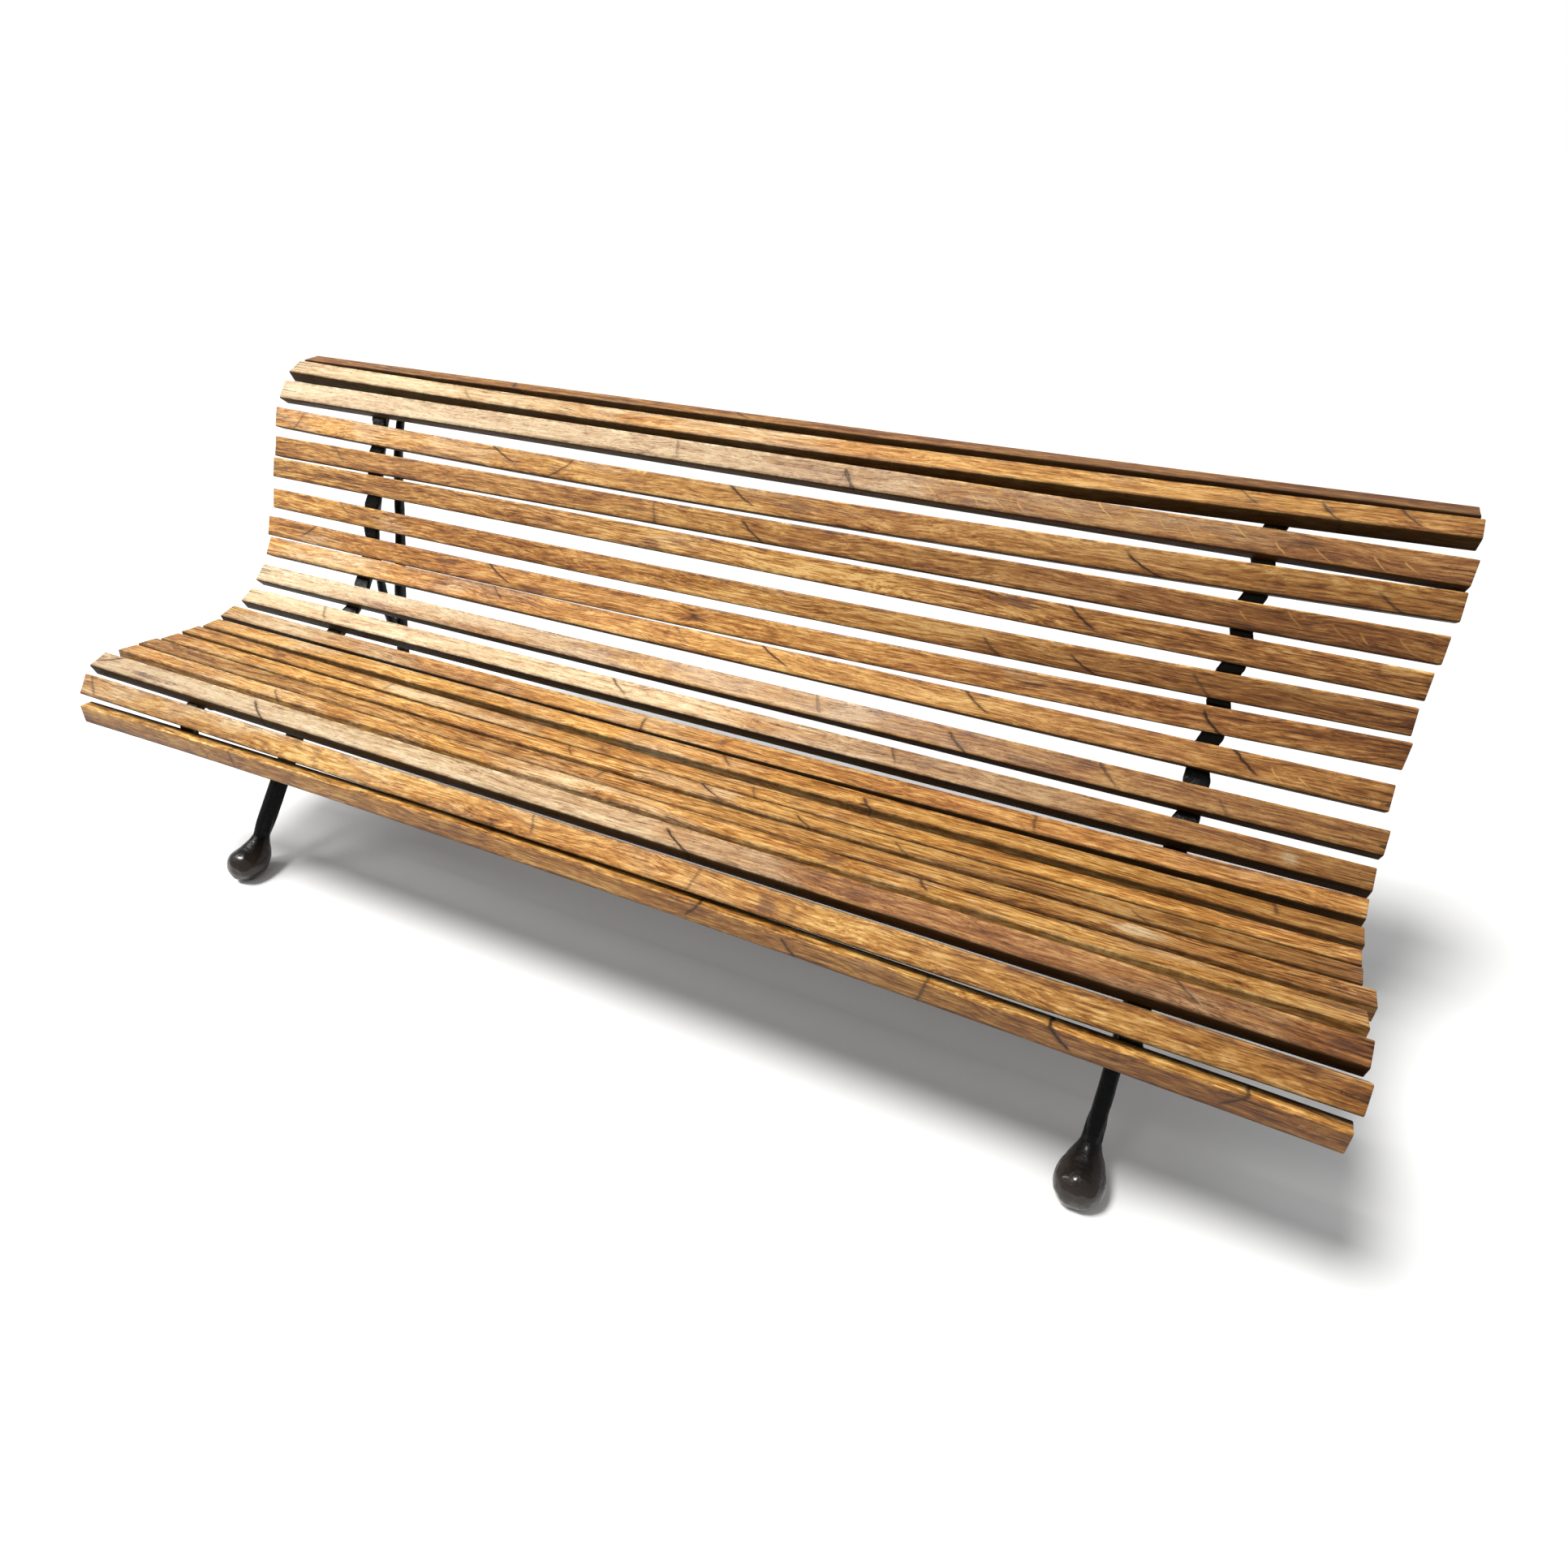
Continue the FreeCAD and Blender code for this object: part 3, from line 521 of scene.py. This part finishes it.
def oak_face():
    s = Shader("varnished_oak")
    grain = s.attribute("grain")
    knot_x, knot_y, knot_size = s.split(s.attribute("knot"))
    crack_x, crack_weight, _ = s.split(s.attribute("crack"))
    fleck_x, fleck_weight, _ = s.split(s.attribute("fleck"))
    check_y, check_weight, _ = s.split(s.attribute("check"))
    pale, tint, edge = s.split(s.attribute("tone"))
    under, weathered, stained = s.split(s.attribute("shade_and_wear"))
    deep = s.split(s.attribute("depth"))[0]

    # The grain wanders along the board and bends round each knot.
    knot_r = s.math("SQRT", s.math("ADD", s.math("POWER", s.math("MULTIPLY", knot_x, 0.5), 2.0),
                                   s.math("POWER", knot_y, 2.0)))
    knot_r = s.math("DIVIDE", knot_r, knot_size)
    knot_near = s.range(knot_r, 0.5, 3.0, 1.0, 0.0)
    knot_core = s.range(knot_r, 0.15, 0.85, 1.0, 0.0)
    wave = s.noise(s.scaled(grain, 3.0, 14.0, 14.0), 1.0, 2.0)
    lift = s.math("MULTIPLY", s.math("SUBTRACT", wave, 0.5), 0.050)
    bend = s.math("MULTIPLY", s.math("MULTIPLY", knot_near, s.math("SIGN", knot_y)), 0.005)
    flow = s.add("VectorMath", inputs={0: grain, 1: s.join(0.0, s.math("ADD", lift, bend), lift)},
                 operation="ADD")

    streak = s.noise(s.scaled(flow, 3.5, 130.0, 130.0), 1.0, 4.0, 0.65)
    band = s.noise(s.scaled(flow, 1.6, 30.0, 30.0), 1.0, 3.0, 0.5)
    fibre = s.noise(s.scaled(flow, 20.0, 340.0, 340.0), 1.0, 3.0, 0.65)
    hair = s.noise(s.scaled(flow, 40.0, 900.0, 900.0), 1.0, 2.0, 0.6)
    pores = s.noise(s.scaled(flow, 90.0, 1300.0, 1300.0), 1.0, 1.0)
    figure = s.noise(s.scaled(flow, 16.0, 46.0, 46.0), 1.0, 4.0, 0.6, 1.6)
    patch = s.noise(s.scaled(flow, 4.5, 20.0, 20.0), 1.0, 4.0, 0.6, 0.6)
    stain = s.noise(s.scaled(grain, 14.0, 60.0, 60.0), 1.0, 5.0, 0.62, 0.8)

    # One value from dark to light, from all the scales of the figure together.
    value = s.math("MULTIPLY_ADD", s.math("SUBTRACT", streak, 0.5), 0.95, 0.62)
    value = s.math("MULTIPLY_ADD", s.math("SUBTRACT", band, 0.5), 0.7, value)
    value = s.math("MULTIPLY_ADD", s.math("SUBTRACT", figure, 0.5), 0.6, value)
    value = s.math("MULTIPLY_ADD", s.math("SUBTRACT", patch, 0.5), 0.7, value)
    ridge = s.range(weathered, 0.0, 1.0, 1.1, 2.4, False)
    value = s.math("MULTIPLY_ADD", s.math("SUBTRACT", fibre, 0.5), ridge, value)
    value = s.math("MULTIPLY_ADD", s.math("SUBTRACT", hair, 0.5), 0.9, value)
    value = s.math("SUBTRACT", value, s.math("MULTIPLY", knot_near, 0.22))

    yellow = s.ramp(value, ((0.00, (0.060, 0.020, 0.005)), (0.28, (0.200, 0.076, 0.015)),
                            (0.50, (0.380, 0.170, 0.032)), (0.72, (0.560, 0.300, 0.070)),
                            (1.00, (0.800, 0.560, 0.220))))
    red = s.ramp(value, ((0.00, (0.040, 0.014, 0.007)), (0.28, (0.130, 0.044, 0.014)),
                         (0.50, (0.280, 0.104, 0.028)), (0.72, (0.430, 0.190, 0.058)),
                         (1.00, (0.680, 0.380, 0.150))))
    cream = s.ramp(value, ((0.00, (0.120, 0.055, 0.028)), (0.24, (0.360, 0.205, 0.095)),
                           (0.46, (0.600, 0.410, 0.225)), (0.70, (0.740, 0.580, 0.360)),
                           (1.00, (0.850, 0.760, 0.560))))
    color = s.mix(tint, yellow, red)
    # Paler, creamier wood where it is bleached and where the varnish's sheen is painted in.
    bleach_and_sheen = s.math("ADD", pale, s.math("MULTIPLY", stained, -0.6))
    bleach_and_sheen = s.range(s.math("MULTIPLY_ADD", s.math("SUBTRACT", patch, 0.5), -1.6, bleach_and_sheen),
                     0.15, 0.85)
    color = s.mix(bleach_and_sheen, color, cream)
    soak = s.math("MULTIPLY_ADD", s.math("SUBTRACT", stain, 0.5), 2.4,
                  s.math("MULTIPLY", stained, 0.9))
    soak = s.range(soak, 0.34, 0.90, 0.0, 0.80)
    color = s.mix(soak, color, (0.135, 0.050, 0.026))
    color = s.mix(s.range(pores, 0.62, 0.76, 0.0, 0.65), color, (0.05, 0.020, 0.008))
    color = s.mix(s.math("MULTIPLY", knot_core, 0.85), color, (0.035, 0.014, 0.008))

    # Pale rays, then dark cracks and splits, their edges broken up by noise.
    jitter = s.math("MULTIPLY", s.math("SUBTRACT", s.noise(grain, 90.0, 3.0, 0.6), 0.5), 0.009)
    fleck_d = s.math("ABSOLUTE", s.math("ADD", fleck_x, s.math("MULTIPLY", jitter, 0.6)))
    fleck = s.math("MULTIPLY", s.range(fleck_d, 0.0006, 0.0026, 1.0, 0.0), fleck_weight)
    color = s.mix(s.math("MULTIPLY", fleck, 0.85), color, (0.80, 0.52, 0.15))
    crack_d = s.math("ABSOLUTE", s.math("ADD", crack_x, jitter))
    crack = s.math("MULTIPLY", s.range(crack_d, 0.0008, 0.0040, 1.0, 0.0), crack_weight)
    halo = s.math("MULTIPLY", s.range(crack_d, 0.002, 0.012, 0.35, 0.0), crack_weight)
    check_d = s.math("ABSOLUTE", s.math("ADD", check_y, s.math("MULTIPLY", jitter, 0.25)))
    check = s.math("MULTIPLY", s.range(check_d, 0.0002, 0.0012, 1.0, 0.0), check_weight)
    crack = s.math("MAXIMUM", crack, check)
    color = s.mix(halo, color, (0.12, 0.046, 0.016))
    color = s.mix(s.math("MULTIPLY", crack, 0.92), color, (0.028, 0.012, 0.006))

    # The board's lighter and darker stretches, partly the wood's own tone and partly painted light
    # and shade along its length; the dark ones are also redder.
    light = s.mix(1.0, color, (1.30, 1.28, 1.22), "MULTIPLY")
    color = s.mix(deep, light, s.mix(1.0, color, (0.42, 0.335, 0.26), "MULTIPLY"))

    # The arrises are darkened in patches; the lower sides and backs are painted near-black as
    # shade, with little varnish.
    worn = s.noise(grain, 60.0, 4.0, 0.65)
    dark_arris = s.math("MULTIPLY", edge, s.range(worn, 0.40, 0.60))
    color = s.mix(s.math("MULTIPLY", dark_arris, 0.45), color, (0.060, 0.026, 0.010))
    painted_shade_color = s.mix(s.range(streak, 0.35, 0.65), (0.026, 0.013, 0.004), (0.010, 0.005, 0.002))
    color = s.mix(under, color, painted_shade_color)

    rough = s.math("ADD", s.math("MULTIPLY", fibre, 0.5), s.math("MULTIPLY", patch, 0.5))
    rough = s.range(rough, 0.3, 0.7, 0.34, 0.62)
    height = s.math("ADD", s.math("MULTIPLY", fibre, 0.9), s.math("MULTIPLY", streak, 1.0))
    height = s.math("SUBTRACT", height, s.math("MULTIPLY", crack, 2.5))
    height = s.math("SUBTRACT", height, s.math("MULTIPLY", s.range(pores, 0.62, 0.75), 0.4))
    normal = s.bump(height, 0.7, 0.0011)
    return s.finish(Base_Color=color, Roughness=rough, Normal=normal,
                    Coat_Weight=s.range(under, 0.0, 0.6, 0.08, 0.0, False), Coat_Roughness=0.25,
                    Specular_IOR_Level=s.range(under, 0.0, 0.8, 0.30, 0.03, False))


def oak_end():
    s = Shader("oak_end_grain")
    grain = s.attribute("grain")
    rings = s.add("TexWave", 1, inputs={"Vector": s.scaled(grain, 0.0, 1.0, 1.6), "Scale": 42.0,
                                        "Distortion": 2.2, "Detail": 2.0, "Detail Scale": 1.4},
                  wave_type="BANDS", bands_direction="Z")
    speck = s.noise(grain, 700.0, 2.0, 0.6)
    blot = s.noise(grain, 45.0, 4.0, 0.6)
    color = s.mix(rings, (0.17, 0.075, 0.028), (0.075, 0.032, 0.014))
    color = s.mix(s.range(speck, 0.5, 0.7, 0.0, 0.7), color, (0.03, 0.014, 0.008))
    color = s.mix(s.range(blot, 0.45, 0.7, 0.0, 0.6), color, (0.045, 0.022, 0.012))
    height = s.math("ADD", s.math("MULTIPLY", rings, 0.6), speck)
    return s.finish(Base_Color=color, Roughness=0.78, Normal=s.bump(height, 0.7, 0.0006))


def cast_paint():
    s = Shader("black_cast_paint")
    place = s.add("TexCoord", 3)
    lump = s.noise(place, 42.0, 3.0, 0.5)
    pit = s.noise(place, 260.0, 3.0, 0.6)
    blot = s.noise(place, 22.0, 4.0, 0.6)
    color = s.mix(s.range(blot, 0.35, 0.65), (0.0025, 0.0028, 0.0034), (0.006, 0.0055, 0.005))
    color = s.mix(s.range(pit, 0.60, 0.78, 0.0, 0.5), color, (0.022, 0.016, 0.012))
    low = s.range(s.split(place)[2], 0.040, 0.075, 1.0, 0.0)
    color = s.mix(s.math("MULTIPLY", low, 0.8), color, (0.026, 0.017, 0.012))
    rough = s.range(s.math("ADD", s.math("MULTIPLY", blot, 0.6), s.math("MULTIPLY", pit, 0.4)),
                    0.35, 0.65, 0.20, 0.42)
    fine = s.noise(place, 620.0, 3.0, 0.65)
    normal = s.bump(lump, 0.6, 0.005)
    normal = s.bump(pit, 0.6, 0.0011, normal)
    normal = s.bump(fine, s.range(low, 0.0, 1.0, 0.15, 0.55, False), 0.0005, normal)
    return s.finish(Base_Color=color, Roughness=rough, Normal=normal,
                    Coat_Weight=s.range(low, 0.0, 1.0, 0.05, 0.7, False),
                    Coat_Roughness=0.12, Specular_IOR_Level=0.14)


def dark_steel():
    s = Shader("blackened_steel")
    place = s.add("TexCoord", 3)
    blot = s.noise(place, 180.0, 4.0, 0.6)
    pit = s.noise(place, 900.0, 2.0, 0.6)
    color = s.mix(s.range(blot, 0.45, 0.65), (0.11, 0.105, 0.10), (0.16, 0.065, 0.025))
    rough = s.range(blot, 0.35, 0.65, 0.32, 0.75)
    metal = s.range(blot, 0.45, 0.65, 1.0, 0.2)
    return s.finish(Base_Color=color, Roughness=rough, Metallic=metal,
                    Normal=s.bump(pit, 0.4, 0.0003))


OAK = oak_face()
OAK_END = oak_end()
IRON = cast_paint()
STEEL = dark_steel()


# ---------------------------------------------------------------- pieces

def add_boards():
    for seed, node in enumerate(BOARDS):
        place, size, bend = board_place(node)
        piece = bpy.data.objects.new(node + "_board", board_mesh(node, size, bend, 100 + seed))
        piece.matrix_world = place
        bpy.context.scene.collection.objects.link(piece)
        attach(piece, "root")
        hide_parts(node)


def evaluated(obj):
    """The object's mesh with its modifiers applied."""
    graph = bpy.context.evaluated_depsgraph_get()
    return bpy.data.meshes.new_from_object(obj.evaluated_get(graph))


def lumpiness(point):
    """Height of the casting's skin: low waves all over, larger lumps on the feet."""
    wave = noise.fractal(point * 28.0, 1.0, 2.0, 3)
    grit = noise.fractal(point * 120.0, 1.0, 2.0, 2)
    foot = max(0.0, 1.0 - point.z / 0.075)
    return 0.0006 * wave + 0.0002 * grit + foot * 0.0022 * noise.fractal(point * 45.0, 1.0, 2.0, 3)


# Middle line of the front foot as (y, z), from stem to toe, and the rear foot's mirror plane.
FOOT_LINE = np.array([(-0.267, 0.098), (-0.290, 0.074), (-0.306, 0.054), (-0.323, 0.038),
                      (-0.341, 0.030), (-0.359, 0.027), (-0.374, 0.025), (-0.385, 0.025)])
FEET_MIRROR = -0.0195
# Along that line, in metres from its start: how much of the width and of the depth is kept.
FOOT_MARKS = (0.0, 0.018, 0.033, 0.046, 0.059, 0.070, 0.082, 0.102, 0.120, 0.146)
FOOT_WIDTH = (1.0, 0.99, 0.86, 0.76, 0.84, 0.93, 0.96, 0.95, 0.96, 1.0)
FOOT_DEPTH = (1.0, 1.0, 0.95, 0.86, 0.84, 0.88, 0.91, 0.95, 1.0, 1.0)
FOOT_REACH = 0.05
SOLE = 0.002
CASTING_VOXEL = 0.0024


def slim_feet(mesh):
    """Draws the ankles in, so that each foot swells suddenly from its stem."""
    co = np.empty(len(mesh.vertices) * 3)
    mesh.vertices.foreach_get("co", co)
    co = co.reshape(-1, 3)
    low = co[co[:, 2] < 0.03, 0]
    middle = (low.min() + low.max()) / 2.0
    rear = co[:, 1] > FEET_MIRROR
    side = np.stack([np.where(rear, 2.0 * FEET_MIRROR - co[:, 1], co[:, 1]), co[:, 2]], -1)
    best = np.full(len(co), 9.0)
    walk = np.zeros(len(co))
    foot = side.copy()
    start = 0.0
    for a, b in zip(FOOT_LINE, FOOT_LINE[1:]):
        step = np.linalg.norm(b - a)
        t = np.clip((side - a) @ (b - a) / step ** 2, 0.0, 1.0)
        point = a + t[:, None] * (b - a)
        distance = np.linalg.norm(side - point, axis=1)
        nearer = distance < best
        best = np.where(nearer, distance, best)
        walk = np.where(nearer, start + t * step, walk)
        foot = np.where(nearer[:, None], point, foot)
        start += step
    width = np.interp(walk, FOOT_MARKS, FOOT_WIDTH)
    depth = np.interp(walk, FOOT_MARKS, FOOT_DEPTH)
    shift = (foot - side) * (1.0 - depth)[:, None]
    shift[(best > FOOT_REACH) | (co[:, 2] < SOLE)] = 0.0
    co[:, 0] += np.where(best > FOOT_REACH, 0.0, (middle - co[:, 0]) * (1.0 - width))
    co[:, 1] += np.where(rear, -shift[:, 0], shift[:, 0])
    co[:, 2] += shift[:, 1]
    mesh.vertices.foreach_set("co", co.ravel())
    mesh.update()


def add_casting(node):
    """The support with the soft corners and lumpy skin of an old casting."""
    source = bpy.data.objects.new(node + "_casting", CAD[node].data.copy())
    bpy.context.scene.collection.objects.link(source)
    remesh = source.modifiers.new("skin", "REMESH")
    remesh.mode = "VOXEL"
    remesh.voxel_size = CASTING_VOXEL
    smooth = source.modifiers.new("soften", "SMOOTH")
    smooth.factor = 0.5
    smooth.iterations = 5
    mesh = evaluated(source)
    source.modifiers.clear()
    source.data = mesh
    slim_feet(mesh)
    normals = [v.normal.copy() for v in mesh.vertices]
    for vertex, normal in zip(mesh.vertices, normals):
        if vertex.co.z > SOLE:
            vertex.co += normal * (0.0004 + lumpiness(vertex.co))
            vertex.co.z = max(vertex.co.z, 0.0)
    for polygon in mesh.polygons:
        polygon.use_smooth = True
    mesh.materials.clear()
    mesh.materials.append(IRON)
    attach(source, "root")
    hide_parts(node)


def add_hardware(node):
    """Screws or washers with their edges eased."""
    piece = bpy.data.objects.new(node + "_eased", CAD[node].data.copy())
    bpy.context.scene.collection.objects.link(piece)
    ease = piece.modifiers.new("ease", "BEVEL")
    ease.width = 0.00045
    ease.segments = 2
    ease.limit_method = "ANGLE"
    ease.angle_limit = math.radians(35.0)
    mesh = evaluated(piece)
    piece.modifiers.clear()
    piece.data = mesh
    mesh.materials.clear()
    mesh.materials.append(STEEL)
    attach(piece, "root")
    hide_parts(node)


add_boards()
for side in ("left", "right"):
    add_casting("support_" + side)
    add_hardware("screws_" + side)
    add_hardware("washers_" + side)


# ---------------------------------------------------------------- stage

# The camera as solved from the photo: metres, degrees, and millimetres on a 36 mm sensor.
CAMERA_PLACE = (0.785, -1.261, 1.286)
CAMERA_YAW, CAMERA_PITCH = -25.67, -38.27
CAMERA_LENS = 22.15
CAMERA_SHIFT = (0.0091, 0.0373)
WORLD_LIGHT = 0.42

def add_floor():
    s = Shader("pale_floor")
    mottle = s.noise(s.add("TexCoord", 3), 3.0, 4.0)
    color = s.mix(mottle, (0.90, 0.90, 0.90), (0.86, 0.86, 0.86))
    material = s.finish(Base_Color=color, Roughness=0.9)
    mesh = bpy.data.meshes.new("floor")
    half = 30.0
    mesh.from_pydata([(-half, -half, 0), (half, -half, 0), (half, half, 0), (-half, half, 0)],
                     [], [(0, 1, 2, 3)])
    mesh.materials.append(material)
    floor = bpy.data.objects.new("floor", mesh)
    floor.location.z = -0.0005
    bpy.context.scene.collection.objects.link(floor)


def hang(name, lamp, place, target):
    obj = bpy.data.objects.new(name, lamp)
    obj.location = place
    obj.rotation_euler = (Vector(target) - Vector(place)).to_track_quat("-Z", "Y").to_euler()
    bpy.context.scene.collection.objects.link(obj)


def add_light(name, place, target, size, power):
    lamp = bpy.data.lights.new(name, "AREA")
    lamp.shape = "DISK"
    lamp.size = size
    lamp.energy = power
    hang(name, lamp, place, target)


def add_sun(place, target, strength, angle, color):
    lamp = bpy.data.lights.new("sun", "SUN")
    lamp.energy = strength
    lamp.angle = math.radians(angle)
    lamp.color = color
    hang("sun", lamp, place, target)


def add_world():
    """White to the camera, dimmer as a light, so that the bench keeps its contrast."""
    world = bpy.data.worlds.new("studio")
    world.use_nodes = True
    nodes, links = world.node_tree.nodes, world.node_tree.links
    back = nodes["Background"]
    back.inputs[0].default_value = (1.0, 1.0, 1.0, 1.0)
    path = nodes.new("ShaderNodeLightPath")
    level = nodes.new("ShaderNodeMapRange")
    level.inputs[3].default_value = WORLD_LIGHT
    level.inputs[4].default_value = 1.0
    links.new(path.outputs["Is Camera Ray"], level.inputs[0])
    links.new(level.outputs[0], back.inputs[1])
    bpy.context.scene.world = world


def add_camera():
    data = bpy.data.cameras.new("camera")
    data.sensor_width = 36.0
    data.lens = CAMERA_LENS
    data.shift_x, data.shift_y = CAMERA_SHIFT
    data.clip_start = 0.05
    yaw, pitch = math.radians(CAMERA_YAW), math.radians(CAMERA_PITCH)
    ahead = Vector((math.sin(yaw) * math.cos(pitch), math.cos(yaw) * math.cos(pitch),
                    math.sin(pitch)))
    camera = bpy.data.objects.new("camera", data)
    camera.location = CAMERA_PLACE
    camera.rotation_euler = ahead.to_track_quat("-Z", "Y").to_euler()
    bpy.context.scene.collection.objects.link(camera)
    bpy.context.scene.camera = camera


add_floor()
add_sun((-0.36, -0.22, 0.90), (0.0, 0.0, 0.0), 3.1, 16.0, (1.0, 0.995, 0.98))
add_light("sheen", (-2.6, -0.6, 2.3), (-0.8, 0.1, 0.5), 1.4, 34.0)
add_world()
add_camera()
bpy.context.scene.view_settings.view_transform = "Standard"
